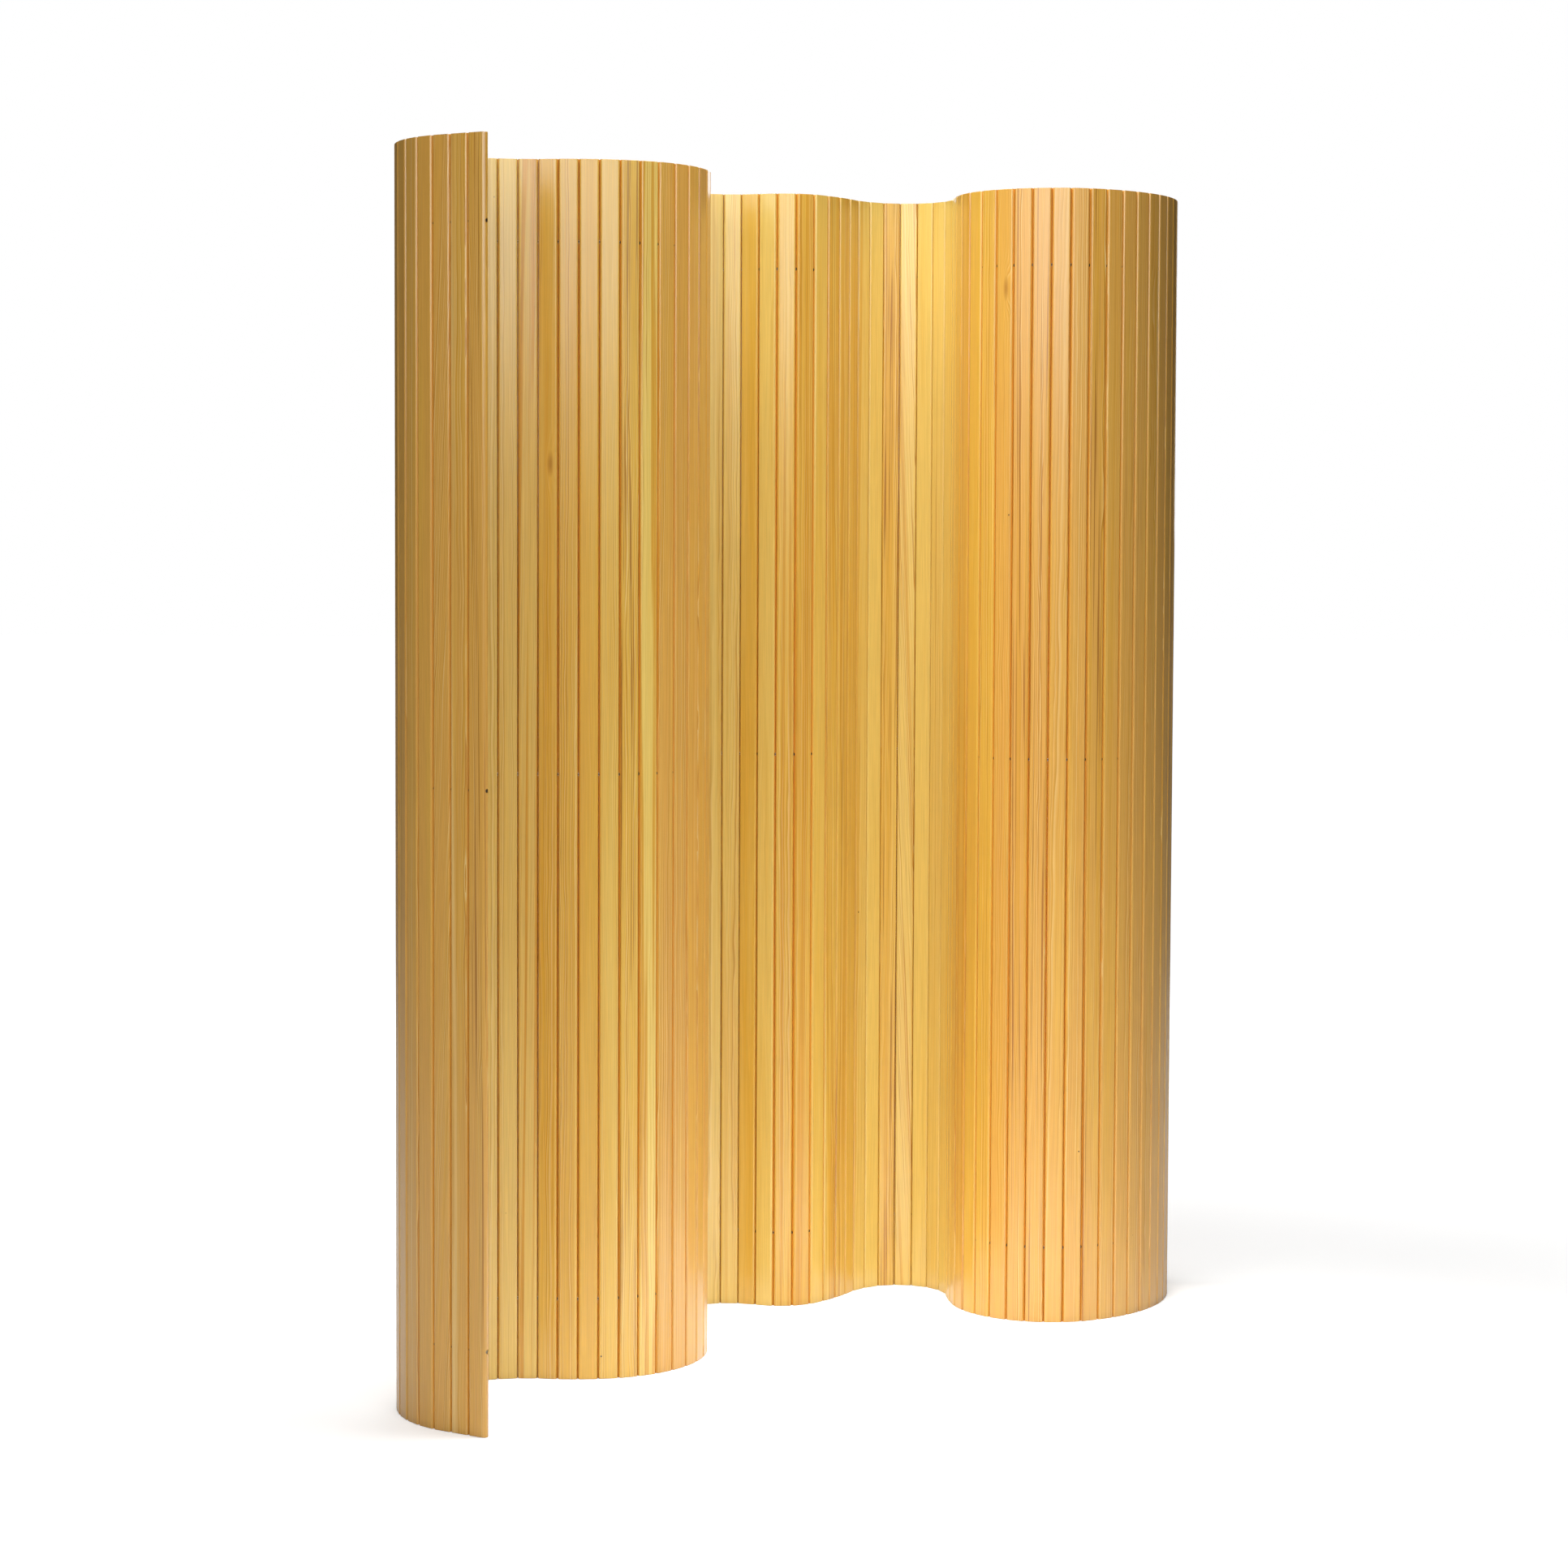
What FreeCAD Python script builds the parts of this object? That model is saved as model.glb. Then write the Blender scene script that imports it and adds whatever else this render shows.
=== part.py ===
"""Free-standing flexible screen: upright wooden slats threaded side by side on three taut cables.

Millimetres, +Z up. The screen stands on the plane Z = 0 in a wave, with the box of its plan centred on
the Z axis and its near free end towards -Y. Slats are numbered from the near end, starting at 1.
"""

import FreeCAD
import Part

import math
import os

from FreeCAD import Placement, Rotation, Vector

# Slats: plain boards with fully rounded long edges, square ends and three holes across their width
SLAT_HEIGHT = 1500.0
SLAT_WIDTH = 24.5
SLAT_THICKNESS = 10.0
SLAT_GAP = 0.5

# Cables: one near the top, one at half height and one near the bottom
CABLE_DIAMETER = 2.0
HOLE_DIAMETER = 3.6
UPPER_CABLE_BELOW_TOP = 100.0
LOWER_CABLE_ABOVE_FLOOR = 100.0

# Crimped stops on the cable ends, each sunk in a recess in the free edge of an end slat
STOP_WALL = 1.4
STOP_LENGTH = 6.0
STOP_SUNK = 1.0
STOP_SIDE_CLEARANCE = 0.3
CRIMP_CLEARANCE = 0.05

# Flats that stand for a rounded slat edge, and for a round hole, cable or stop
EDGE_FLATS = 6
ROUND_FLATS = 6

# The wave, from the near end to the far end: direction of the first slat, counted from +X towards +Y,
# then runs of joints that all turn by the same angle, as (number of joints, degrees to the left)
FIRST_HEADING = 149.5
WAVE_ANGLES = [
    (2, -0.5),
    (11, -11.0),
    (4, -9.0),
    (3, 6.5),
    (9, 10.0),
    (5, 3.5),
    (8, -17.0),
    (1, -0.5),
    (3, 21.0),
    (3, 5.5),
    (2, -13.5),
    (6, -20.5),
    (2, 4.5),
    (9, 11.5),
    (11, 7.0),
]

# Numbers of the slats in gentle stretches that share a node with the next slat, as two separate boards
PAIR_NUMBERS = [2, *range(14, 36, 2), 43, 47, 49, 58, *range(61, 69, 2), *range(70, 80, 2)]

PITCH = SLAT_WIDTH + SLAT_GAP
CABLE_HEIGHTS = {
    "upper": SLAT_HEIGHT - UPPER_CABLE_BELOW_TOP,
    "middle": SLAT_HEIGHT / 2,
    "lower": LOWER_CABLE_ABOVE_FLOOR,
}
STOP_DIAMETER = CABLE_DIAMETER + 2 * STOP_WALL
RECESS_DIAMETER = STOP_DIAMETER + 2 * STOP_SIDE_CLEARANCE
RECESS_DEPTH = STOP_LENGTH + STOP_SUNK
# How far the outer face of a stop lies from the middle of its end slat
CABLE_END_REACH = SLAT_WIDTH / 2 - STOP_SUNK


def section():
    """Corners of a slat's cross-section, width along X: two straight sides between rounded edges."""
    radius = SLAT_THICKNESS / 2
    middle = SLAT_WIDTH / 2 - radius
    corners = []
    for side, first_angle in ((1, -90), (-1, 90)):
        for step in range(EDGE_FLATS + 1):
            angle = math.radians(first_angle + 180 * step / EDGE_FLATS)
            corners.append((side * middle + radius * math.cos(angle), radius * math.sin(angle)))
    return corners


def ring(diameter):
    """Corners of a small round section, as (sideways, upwards), with a corner straight up."""
    turn = 2 * math.pi / ROUND_FLATS
    return [
        (-diameter / 2 * math.sin(turn * k), diameter / 2 * math.cos(turn * k)) for k in range(ROUND_FLATS)
    ]


def headings():
    """Direction of every slat in the wave, in degrees."""
    found = [FIRST_HEADING]
    for joints, turn in WAVE_ANGLES:
        for _ in range(joints):
            found.append(found[-1] + turn)
    return found


def along(heading):
    """Unit vector in the plan at a heading in degrees."""
    return Vector(math.cos(math.radians(heading)), math.sin(math.radians(heading)), 0)


def plan():
    """The plan of the wave as (headings, middles of the slats, hinge points between them)."""
    turned = headings()
    ends = [Vector(0, 0, 0)]
    for heading in turned:
        ends.append(ends[-1] + along(heading) * PITCH)
    middles = [(a + b) / 2 for a, b in zip(ends, ends[1:])]
    corners = []
    for heading, middle in zip(turned, middles):
        forward, left = along(heading), along(heading + 90)
        corners += [middle + forward * x + left * y for x, y in section()]
    xs = [c.x for c in corners]
    ys = [c.y for c in corners]
    centre = Vector((min(xs) + max(xs)) / 2, (min(ys) + max(ys)) / 2, 0)
    return turned, [m - centre for m in middles], [e - centre for e in ends[1:-1]]


def prism(corners, start, reach):
    """A prism along X from the plane X = start, with corners given as (Y, Z)."""
    points = [Vector(start, y, z) for y, z in corners]
    return Part.Face(Part.makePolygon(points + points[:1])).extrude(Vector(reach, 0, 0))


def raised(corners, height):
    """The same corners, moved up to a height."""
    return [(y, z + height) for y, z in corners]


def slat(free_edge=0):
    """One slat standing on the origin. free_edge is -1 or 1 on an end slat, for the side with the recesses."""
    points = [Vector(x, y, 0) for x, y in section()]
    board = Part.Face(Part.makePolygon(points + points[:1])).extrude(Vector(0, 0, SLAT_HEIGHT))
    for height in CABLE_HEIGHTS.values():
        board = board.cut(prism(raised(ring(HOLE_DIAMETER), height), -SLAT_WIDTH, 2 * SLAT_WIDTH))
        if free_edge:
            floor = free_edge * (SLAT_WIDTH / 2 - RECESS_DEPTH)
            recess = prism(raised(ring(RECESS_DIAMETER), height), floor, free_edge * SLAT_WIDTH)
            board = board.cut(recess)
    return board


def stops(free_edge):
    """The three crimped stops of an end slat that stands on the origin, seated in its recesses."""
    outer_face = free_edge * CABLE_END_REACH
    made = []
    for height in CABLE_HEIGHTS.values():
        sleeve = prism(raised(ring(STOP_DIAMETER), height), outer_face, -free_edge * STOP_LENGTH)
        bore = raised(ring(CABLE_DIAMETER + 2 * CRIMP_CLEARANCE), height)
        made.append(sleeve.cut(prism(bore, -SLAT_WIDTH, 2 * SLAT_WIDTH)))
    return made


def cable(route, height):
    """A cable along straight runs through the slats, with a mitre at each hinge point."""
    runs = [(b - a).normalize() for a, b in zip(route, route[1:])]
    rings = []
    for number, point in enumerate(route):
        before = runs[max(number - 1, 0)]
        after = runs[min(number, len(runs) - 1)]
        bisector = (before + after).normalize()
        left = Vector(-bisector.y, bisector.x, 0) / bisector.dot(after)
        rings.append([point + left * y + Vector(0, 0, height + z) for y, z in ring(CABLE_DIAMETER)])
    outlines = [rings[0], rings[-1]]
    for near, far in zip(rings, rings[1:]):
        for k in range(ROUND_FLATS):
            outlines.append([near[k], near[k - 1], far[k - 1], far[k]])
    shell = Part.makeShell([Part.Face(Part.makePolygon(o + o[:1])) for o in outlines])
    shell.sewShape()
    return Part.makeSolid(shell)


def stood(shape, heading, middle):
    """A copy of a shape made on the origin, turned and moved to a slat's place in the wave."""
    copy = shape.copy()
    copy.Placement = Placement(middle, Rotation(Vector(0, 0, 1), heading))
    return copy


def node_groups():
    """Slat numbers of each slat node: single slats, and pairs in the gentle stretches."""
    groups = []
    number = 1
    while number <= len(headings()):
        size = 2 if number in PAIR_NUMBERS else 1
        groups.append(tuple(range(number, number + size)))
        number += size
    return groups


def node_name(group):
    """Name of a slat node, from the numbers of its slats."""
    return "slat_" + "_".join(f"{number:02d}" for number in group)


def cable_route():
    """Points of the cables in the plan, from the outer face of the near stop to that of the far one."""
    turned, middles, hinges = plan()
    near = middles[0] - along(turned[0]) * CABLE_END_REACH
    far = middles[-1] + along(turned[-1]) * CABLE_END_REACH
    return [near, *hinges, far]


def build():
    """Every node of the screen, by name."""
    turned, middles, _ = plan()
    last = len(turned)
    free_edges = {1: -1, last: 1}
    boards = {edge: slat(edge) for edge in (0, -1, 1)}
    nodes = {}
    for group in node_groups():
        placed = [
            stood(boards[free_edges.get(n, 0)], turned[n - 1], middles[n - 1]) for n in group
        ]
        nodes[node_name(group)] = Part.makeCompound(placed)
    for name, number in (("near_cable_stops", 1), ("far_cable_stops", last)):
        placed = [stood(s, turned[number - 1], middles[number - 1]) for s in stops(free_edges[number])]
        nodes[name] = Part.makeCompound(placed)
    for name, height in CABLE_HEIGHTS.items():
        nodes[name + "_cable"] = cable(cable_route(), height)
    return nodes


def main():
    os.makedirs("parts", exist_ok=True)
    for name, shape in build().items():
        shape.exportStep(os.path.join("parts", name + ".step"))


if __name__ == "__main__":
    main()
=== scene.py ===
"""Flexible slatted screen: pine slats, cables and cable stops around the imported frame, on a plain stage.

Metres, +Z up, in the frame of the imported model. Slats are numbered from the near free end, starting at 1.
"""

import math
import random

import bmesh
import bpy
from bpy.props import FloatProperty, FloatVectorProperty, PointerProperty
from mathutils import Matrix, Vector


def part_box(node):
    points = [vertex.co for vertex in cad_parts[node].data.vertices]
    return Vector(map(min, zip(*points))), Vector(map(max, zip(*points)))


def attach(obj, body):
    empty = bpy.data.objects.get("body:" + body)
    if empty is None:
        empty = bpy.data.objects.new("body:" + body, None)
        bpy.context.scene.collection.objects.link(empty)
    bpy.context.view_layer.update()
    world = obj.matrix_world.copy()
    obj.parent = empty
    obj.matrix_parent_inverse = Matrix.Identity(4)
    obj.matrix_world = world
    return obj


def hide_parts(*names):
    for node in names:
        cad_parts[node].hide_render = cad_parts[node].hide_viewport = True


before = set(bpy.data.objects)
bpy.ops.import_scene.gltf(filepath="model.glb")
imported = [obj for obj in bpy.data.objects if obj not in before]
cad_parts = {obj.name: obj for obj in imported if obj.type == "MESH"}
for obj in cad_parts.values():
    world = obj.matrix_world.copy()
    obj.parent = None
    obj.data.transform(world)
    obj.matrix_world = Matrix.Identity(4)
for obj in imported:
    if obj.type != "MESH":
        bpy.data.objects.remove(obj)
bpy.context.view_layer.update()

bl_info = {
    "name": "Flexible slatted screen",
    "version": (1, 0, 0),
    "blender": (4, 5, 0),
    "location": "3D View > Sidebar > Screen",
    "description": "A standing screen of pine slats strung on three steel cables, with its stage",
    "category": "Add Mesh",
}

MM = 0.001

# The wave that the slats stand in: heading of the first slat in degrees from +X towards +Y, then runs of
# joints that all turn by the same angle, as (number of joints, degrees to the left)
FIRST_HEADING = 149.5
WAVE_ANGLES = [
    (2, -0.5),
    (11, -11.0),
    (4, -9.0),
    (3, 6.5),
    (9, 10.0),
    (5, 3.5),
    (8, -17.0),
    (1, -0.5),
    (3, 21.0),
    (3, 5.5),
    (2, -13.5),
    (6, -20.5),
    (2, 4.5),
    (9, 11.5),
    (11, 7.0),
]

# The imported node, and the body of the same name, that holds each slat
SLAT_NODES = {
    int(number): name
    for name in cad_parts
    if name.startswith("slat_")
    for number in name.split("_")[1:]
}
CABLE_NODES = ("upper_cable", "middle_cable", "lower_cable")
STOP_NODES = {1: "near_cable_stops", len(SLAT_NODES): "far_cable_stops"}
# Side of an end slat's width, along X, that is the free edge of the screen
FREE_EDGES = {1: -1, len(SLAT_NODES): 1}

# Slats whose boards stand out from the rest
PALE_SLATS = {15, 16, 17, 23, 41, 42, 44, 51, 52, 54, 55, 56, 57, 58}
RICH_SLATS = {20, 46, *range(60, 64)}
# Slats turned away from the light, given the deep tone as painted shade
SHADED_SLATS = {*range(1, 15), *range(24, 31), *range(64, 78)}
PLAIN_SLATS = {4, 20, 43, 44, 47, 52, 55, 57, 58, 62}
STREAKED_SLATS = {1, 22, 53, 65, 66, 69}
BANDED_SLATS = {17, 23, 24, 45, 46, 61}
SLANTED_SLATS = {3, 54}
# How far each row of points of a rounded edge moves out where two slats meet, from the face to the middle of
# the edge: full shoulders over a steep V that just clears the next slat when the joint is bent by 30 degrees
SHOULDERS = [2.1 * MM, 1.52 * MM, 0.92 * MM, 0.32 * MM, 0.045 * MM, 0.245 * MM]
# The free edge is a true round, kept inside the flats that stand for it in the solid
FREE_EDGE_OUT = -0.06 * MM
# Slats with a knot or a swirl on one face, as its height in metres and its place across the half width
SWIRLS = {1: (0.46, -0.4), 18: (1.13, 0.3), 64: (1.37, 0.2), 36: (0.9, 0.1), 76: (0.35, -0.2)}

# Places nearer to each other than TINY count as one, and corners nearer than MERGE_WITHIN are merged
TINY = 0.01 * MM
MERGE_WITHIN = 0.002 * MM
# How far a slat may stand from where the frame has it
OFF_PLACE = 0.5 * MM
# Flats that stand for each rounded edge in the solid
EDGE_FLATS = 6
# The faces lie 0.15 mm inside those of the solid, so that the full shoulders stay within its box
FACE_SCALE = 0.97
# A slat's mesh is cut across this far above and below each cable hole
HOLE_MARGIN = 5 * MM
# Edges that turn by less than this are shaded smooth, on wood and cables, and on the stops
SMOOTH_TURN = math.radians(50)
STOP_SMOOTH_TURN = math.radians(40)
# Sides of the round pieces
HOLE_SIDES = 16
CABLE_SIDES = 8
STOP_SIDES = 24
# A crimped stop: play round the cable, easing of the rims, and two waists that the press has squeezed, each
# flat to either side of its middle and then rising to the full round
STOP_PLAY = 0.02 * MM
STOP_EASING = 0.35 * MM
WAIST_FROM_MIDDLE = 1.2 * MM
WAIST_FLAT = 0.4 * MM
WAIST_RISE = 0.7 * MM
WAIST_SQUEEZE = (1, 0.84, 0.94)

# What is written on the vertices of a slat: where they lay in the log, looks of the board and of its figure,
# the way from the knot, and the place on the slat
MARKS = ("log_mm", "board", "figure", "knot_mm", "slat_mm")
# Seed of the boards' random draws
BOARD_SEED = 7000
# Boards are cut from this far either way along the pattern of the wood, in millimetres
LOG_REACH = 9000
# Where a slat without a knot has it, out of reach, in millimetres
NO_KNOT = Vector((0, 0, 9000))
# A free edge meets no other slat, so its points are marked as this much of their way from the middle
FREE_EDGE_MARK = 0.9
# Wires round the core of a cable, and the length in which they go once round, in millimetres
OUTER_WIRES = 6
WIRE_LAY = 14
# Scuffs on a stop
SCUFF = 0.2 * MM

# The studio floor, in metres: its size, and how far it lies below the slats
FLOOR_SIZE = 60
FLOOR_BELOW = 0.1 * MM
# Lamps: place, the point that the lamp faces, width and height in metres, and spread of its light in degrees
LAMPS = {
    "softbox_front": ((-0.2, -3.4, 2.1), (0, 0, 1.2), (5.0, 1.3), 180),
    "softbox_back": ((0.3, 3.4, 2.0), (0, 0, 0.9), (2.0, 2.0), 180),
    "overhead": ((-0.23, 0, 2.7), (-0.23, 0, 0), (1.3, 1.0), 180),
    "floor_lamp": ((0.26, -0.28, 2.7), (0.26, -0.28, 0), (0.6, 0.6), 36),
    "floor_card": ((0, -0.5, 1 * MM), (0, -0.5, 1), (5.0, 5.0), 180),
}
# Fill on the object from behind it, and how much of the white world and floor shows in a gloss
BACK_FILL = 0.22
MIRRORED_WORLD = 0.02
MIRRORED_FLOOR = 0.05


def linear(code):
    """Linear colour with alpha from an sRGB hex value."""
    parts = [int(code[k:k + 2], 16) / 255 for k in (1, 3, 5)]
    return (*[p / 12.92 if p <= 0.04045 else ((p + 0.055) / 1.055) ** 2.4 for p in parts], 1.0)


def length(name, description, default):
    """A length that a user may change, in metres."""
    return FloatProperty(
        name=name, description=description, default=default, min=0, unit="LENGTH", precision=5
    )


def colour(name, description, code):
    """A colour that a user may change."""
    return FloatVectorProperty(
        name=name, description=description, default=linear(code), size=4, subtype="COLOR", min=0, max=1
    )


def brightness(name, description, default):
    """The brightness of a lamp, which a user may change."""
    return FloatProperty(name=name, description=description, default=default, min=0)


class ScreenSizes(bpy.types.PropertyGroup):
    """Sizes of the screen's pieces."""

    slat_height: length("Slat height", "Length of a slat, from the floor up", 1500 * MM)
    slat_width: length("Slat width", "Across a slat, over its rounded edges", 24.5 * MM)
    slat_thickness: length("Slat thickness", "Between the two faces of a slat", 10 * MM)
    slat_gap: length("Gap", "Between two slats that stand in line", 0.5 * MM)
    end_easing: length("Eased ends", "Rounding round the sawn ends of a slat", 0.7 * MM)
    cable_diameter: length("Cable diameter", "Across a steel cable", 2 * MM)
    hole_diameter: length("Cable hole", "Across the hole for a cable", 3.6 * MM)
    upper_cable_below_top: length("Upper cable", "From the top of the slats down", 100 * MM)
    lower_cable_above_floor: length("Lower cable", "From the floor up", 100 * MM)
    stop_diameter: length("Stop diameter", "Across a crimped cable stop", 4.8 * MM)
    stop_length: length("Stop length", "Along a crimped cable stop", 6 * MM)
    stop_sunk: length("Stop sunk by", "From the free edge in to a stop", 1 * MM)
    recess_diameter: length("Recess", "Across the recess for a stop", 5.4 * MM)


class ScreenColours(bpy.types.PropertyGroup):
    """Colours of the screen's finishes."""

    straw: colour("Pale early wood", "Early wood of the palest boards", "#E6C668")
    honey: colour("Rich early wood", "Early wood of the richest boards", "#DEB044")
    # Deep tone of the darkest boards, and painted shade on the slats turned away from the light
    deep_and_shade: colour("Darkest early wood and shade", "Early wood of the darkest boards, and painted shade on slats turned from the light", "#D8A24A")
    cream: colour("Spring wood", "First soft wood of a year's ring", "#EBD08C")
    amber: colour("Late wood", "Dense outer part of a year's ring", "#B87C26")
    orange: colour("Heart wood", "Broad warm bands on some boards", "#D49C33")
    resin: colour("Resin streaks", "Dark lines where resin has gathered", "#8E4E16")
    # Painted warm bounce light that lifts the shaded groove where two slats meet
    joint: colour("Joint glow", "Painted warm bounce light along the edges that meet", "#E6A23E")
    sawn: colour("Sawn end", "End grain, dark with soaked-in lacquer", "#7E6036")
    # Painted shade in the mouths and walls of the cable holes
    hole_shade: colour("Hole shade", "Painted shade inside a cable hole", "#3A220C")
    fleck: colour("Dark fleck", "Small dark fleck in the wood", "#1E1006")
    # Steel's own grey, darkened and warmed as painted shade of the cable down in its holes
    steel: colour("Cable steel", "Drawn steel wire", "#6A6052")
    # Painted shade between the wires of a cable
    groove_shade: colour("Cable wire shade", "Painted shade between the wires of a cable", "#2E2F30")
    # Aluminium's own grey, darkened and warmed as painted shade of a stop down in its recess
    aluminium: colour("Stop aluminium", "Crimped aluminium", "#8A7A5E")
    floor: colour("Floor", "Studio floor", "#F4F4F4")


class ScreenStage(bpy.types.PropertyGroup):
    """Camera and lamps."""

    camera_place: FloatVectorProperty(
        name="Camera",
        description="Where the camera stands",
        default=(-0.0574, -4.2181, 1.0414),
        unit="LENGTH",
    )
    camera_turn: FloatVectorProperty(
        name="Camera turn",
        description="Tilt up, roll, and turn to the right of +Y",
        default=[math.radians(a) for a in (-2.89, 0.238, 0.273)],
        unit="ROTATION",
    )
    lens: FloatProperty(name="Lens", description="Focal length in millimetres", default=76.43)
    shift: FloatProperty(
        name="Shift", description="Shift of the lens, of the picture's height", default=-0.05
    )
    softbox_front: brightness("Front softbox", "Brightness of the softbox in front", 4.1)
    softbox_back: brightness("Back softbox", "Brightness of the softbox behind", 2.4)
    overhead: brightness("Overhead", "Brightness of the lamp overhead", 11.2)
    floor_lamp: brightness("Floor lamp", "Brightness of the narrow lamp over the floor", 5.0)
    floor_card: brightness("Floor card", "Brightness of the white card that lies round the screen", 0.2)


def sizes():
    """The sizes that the panel shows."""
    return bpy.context.scene.screen_sizes


def colours():
    """The colours that the panel shows."""
    return bpy.context.scene.screen_colours


def pitch():
    """Distance between two neighbouring hinge points."""
    return sizes().slat_width + sizes().slat_gap


def cable_heights():
    """Heights of the upper, the middle and the lower cable."""
    s = sizes()
    return s.slat_height - s.upper_cable_below_top, s.slat_height / 2, s.lower_cable_above_floor


def section():
    """Points of a slat's outline in plan, width along X."""
    radius = sizes().slat_thickness / 2
    middle = sizes().slat_width / 2 - radius
    turns = [flat * math.pi / EDGE_FLATS for flat in range(EDGE_FLATS + 1)]
    return [
        (side * (middle + radius * math.sin(turn)), radius * math.cos(turn))
        for side in (1, -1)
        for turn in turns
    ]


def slat_places():
    """Heading and middle of every slat in the plan, by its number."""
    headings = [math.radians(FIRST_HEADING)]
    for joints, turn in WAVE_ANGLES:
        for _ in range(joints):
            headings.append(headings[-1] + math.radians(turn))
    end = Vector((0, 0, 0))
    placed = []
    for heading in headings:
        step = Matrix.Rotation(heading, 3, "Z") @ Vector((pitch(), 0, 0))
        placed.append((heading, end + step / 2))
        end = end + step
    outline = [
        middle + Matrix.Rotation(heading, 3, "Z") @ Vector((x, y, 0))
        for heading, middle in placed
        for x, y in section()
    ]
    centre = Vector([(min(p[k] for p in outline) + max(p[k] for p in outline)) / 2 for k in range(3)])
    return {number: (h, m - centre) for number, (h, m) in enumerate(placed, 1)}


def stand(place):
    """Matrix that takes a piece made on the origin to a slat's place."""
    heading, middle = place
    return Matrix.Translation(middle) @ Matrix.Rotation(heading, 4, "Z")


def start_fresh():
    """Deselects everything, so that the next operator acts on its own piece only."""
    bpy.ops.object.select_all(action="DESELECT")


def pick(obj, kind, test):
    """In edit mode, selects the vertices, edges or faces for which test is true."""
    bpy.ops.mesh.select_mode(type=kind)
    bpy.ops.mesh.select_all(action="DESELECT")
    mesh = bmesh.from_edit_mesh(obj.data)
    for part in {"VERT": mesh.verts, "EDGE": mesh.edges, "FACE": mesh.faces}[kind]:
        part.select_set(test(part))
    mesh.select_flush_mode()
    bmesh.update_edit_mesh(obj.data)


def pick_vertices(obj, test):
    """In edit mode, selects the vertices for whose places test is true."""
    pick(obj, "VERT", lambda vertex: test(vertex.co))


def pick_edges(obj, test):
    """In edit mode, selects the edges for which test is true of the places of both ends."""
    pick(obj, "EDGE", lambda edge: all(test(vertex.co) for vertex in edge.verts))


def merge_all():
    """In edit mode, merges doubles and turns all faces outwards."""
    bpy.ops.mesh.select_all(action="SELECT")
    bpy.ops.mesh.remove_doubles(threshold=MERGE_WITHIN)
    bpy.ops.mesh.normals_make_consistent(inside=False)


def cut_away(obj, cutters):
    """Cuts the cutters out of obj, and removes them."""
    for cutter in cutters:
        cut = obj.modifiers.new("cut", "BOOLEAN")
        cut.object, cut.operation, cut.solver = cutter, "DIFFERENCE", "EXACT"
        bpy.context.view_layer.objects.active = obj
        bpy.ops.object.modifier_apply(modifier=cut.name)
        bpy.data.objects.remove(cutter, do_unlink=True)


def round_bar(sides, radius, start, end, height=0):
    """A plain round bar along X, to be shaped or to cut with."""
    start_fresh()
    bpy.ops.mesh.primitive_cylinder_add(
        vertices=sides,
        radius=radius,
        depth=abs(end - start),
        location=((start + end) / 2, 0, height),
        rotation=(0, math.pi / 2, 0),
    )
    bpy.ops.object.transform_apply(location=True, rotation=True, scale=True)
    return bpy.context.object


def drills(diameter, start, end):
    """Round cutters along X, one at the height of each cable."""
    return [round_bar(HOLE_SIDES, diameter / 2, start, end, height) for height in cable_heights()]


def make_slat(free_edge):
    """One slat standing on the origin, width along X: rounded long edges, eased ends and its cable holes."""
    s = sizes()
    start_fresh()
    bpy.ops.mesh.primitive_cube_add(
        size=1, location=(0, 0, s.slat_height / 2), scale=(s.slat_width, s.slat_thickness, s.slat_height)
    )
    board = bpy.context.object
    bpy.ops.object.transform_apply(location=True, rotation=True, scale=True)
    bpy.ops.object.mode_set(mode="EDIT")
    pick(board, "EDGE", lambda edge: edge.calc_length() > s.slat_height / 2)
    radius = s.slat_thickness / 2
    steps = len(SHOULDERS) - 1
    bpy.ops.mesh.bevel(offset=radius, segments=steps, profile=0.5, affect="EDGES", clamp_overlap=False)
    merge_all()
    for side in (-1, 1):
        for step, shoulder in enumerate(SHOULDERS):
            row = radius * math.cos(step * math.pi / 2 / steps)
            out = FREE_EDGE_OUT if side == free_edge else shoulder
            pick_vertices(board, lambda co: side * co.x > 0 and abs(abs(co.y) - row) < TINY)
            bpy.ops.transform.translate(value=(side * out, 0, 0))
    bpy.ops.mesh.select_all(action="SELECT")
    bpy.ops.transform.resize(value=(1, FACE_SCALE, 1), center_override=(0, 0, 0))
    for end in (0, s.slat_height):
        pick_edges(board, lambda co: abs(co.z - end) < TINY)
        bpy.ops.mesh.bevel(offset=s.end_easing, segments=2, profile=0.5, affect="EDGES", clamp_overlap=False)
    for height in cable_heights():
        for side in (-1, 1):
            bpy.ops.mesh.select_all(action="SELECT")
            bpy.ops.mesh.bisect(plane_co=(0, 0, height + side * HOLE_MARGIN), plane_no=(0, 0, 1))
    bpy.ops.object.mode_set(mode="OBJECT")
    cutters = drills(s.hole_diameter, -s.slat_width, s.slat_width)
    if free_edge:
        recess_floor = free_edge * (s.slat_width / 2 - s.stop_sunk - s.stop_length)
        cutters += drills(s.recess_diameter, recess_floor, free_edge * s.slat_width)
    cut_away(board, cutters)
    start_fresh()
    board.select_set(True)
    bpy.context.view_layer.objects.active = board
    bpy.ops.object.shade_smooth_by_angle(angle=SMOOTH_TURN)
    flat = board.modifiers.new("flat_faces", "WEIGHTED_NORMAL")
    flat.keep_sharp = True
    bpy.ops.object.modifier_apply(modifier=flat.name)
    return board


def plug(tree, node, inputs):
    """Sets a node's inputs, by name or number, to values, or links them to sockets."""
    for key, value in inputs.items():
        if isinstance(value, bpy.types.NodeSocket):
            tree.links.new(value, node.inputs[key])
        else:
            node.inputs[key].default_value = value


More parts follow.
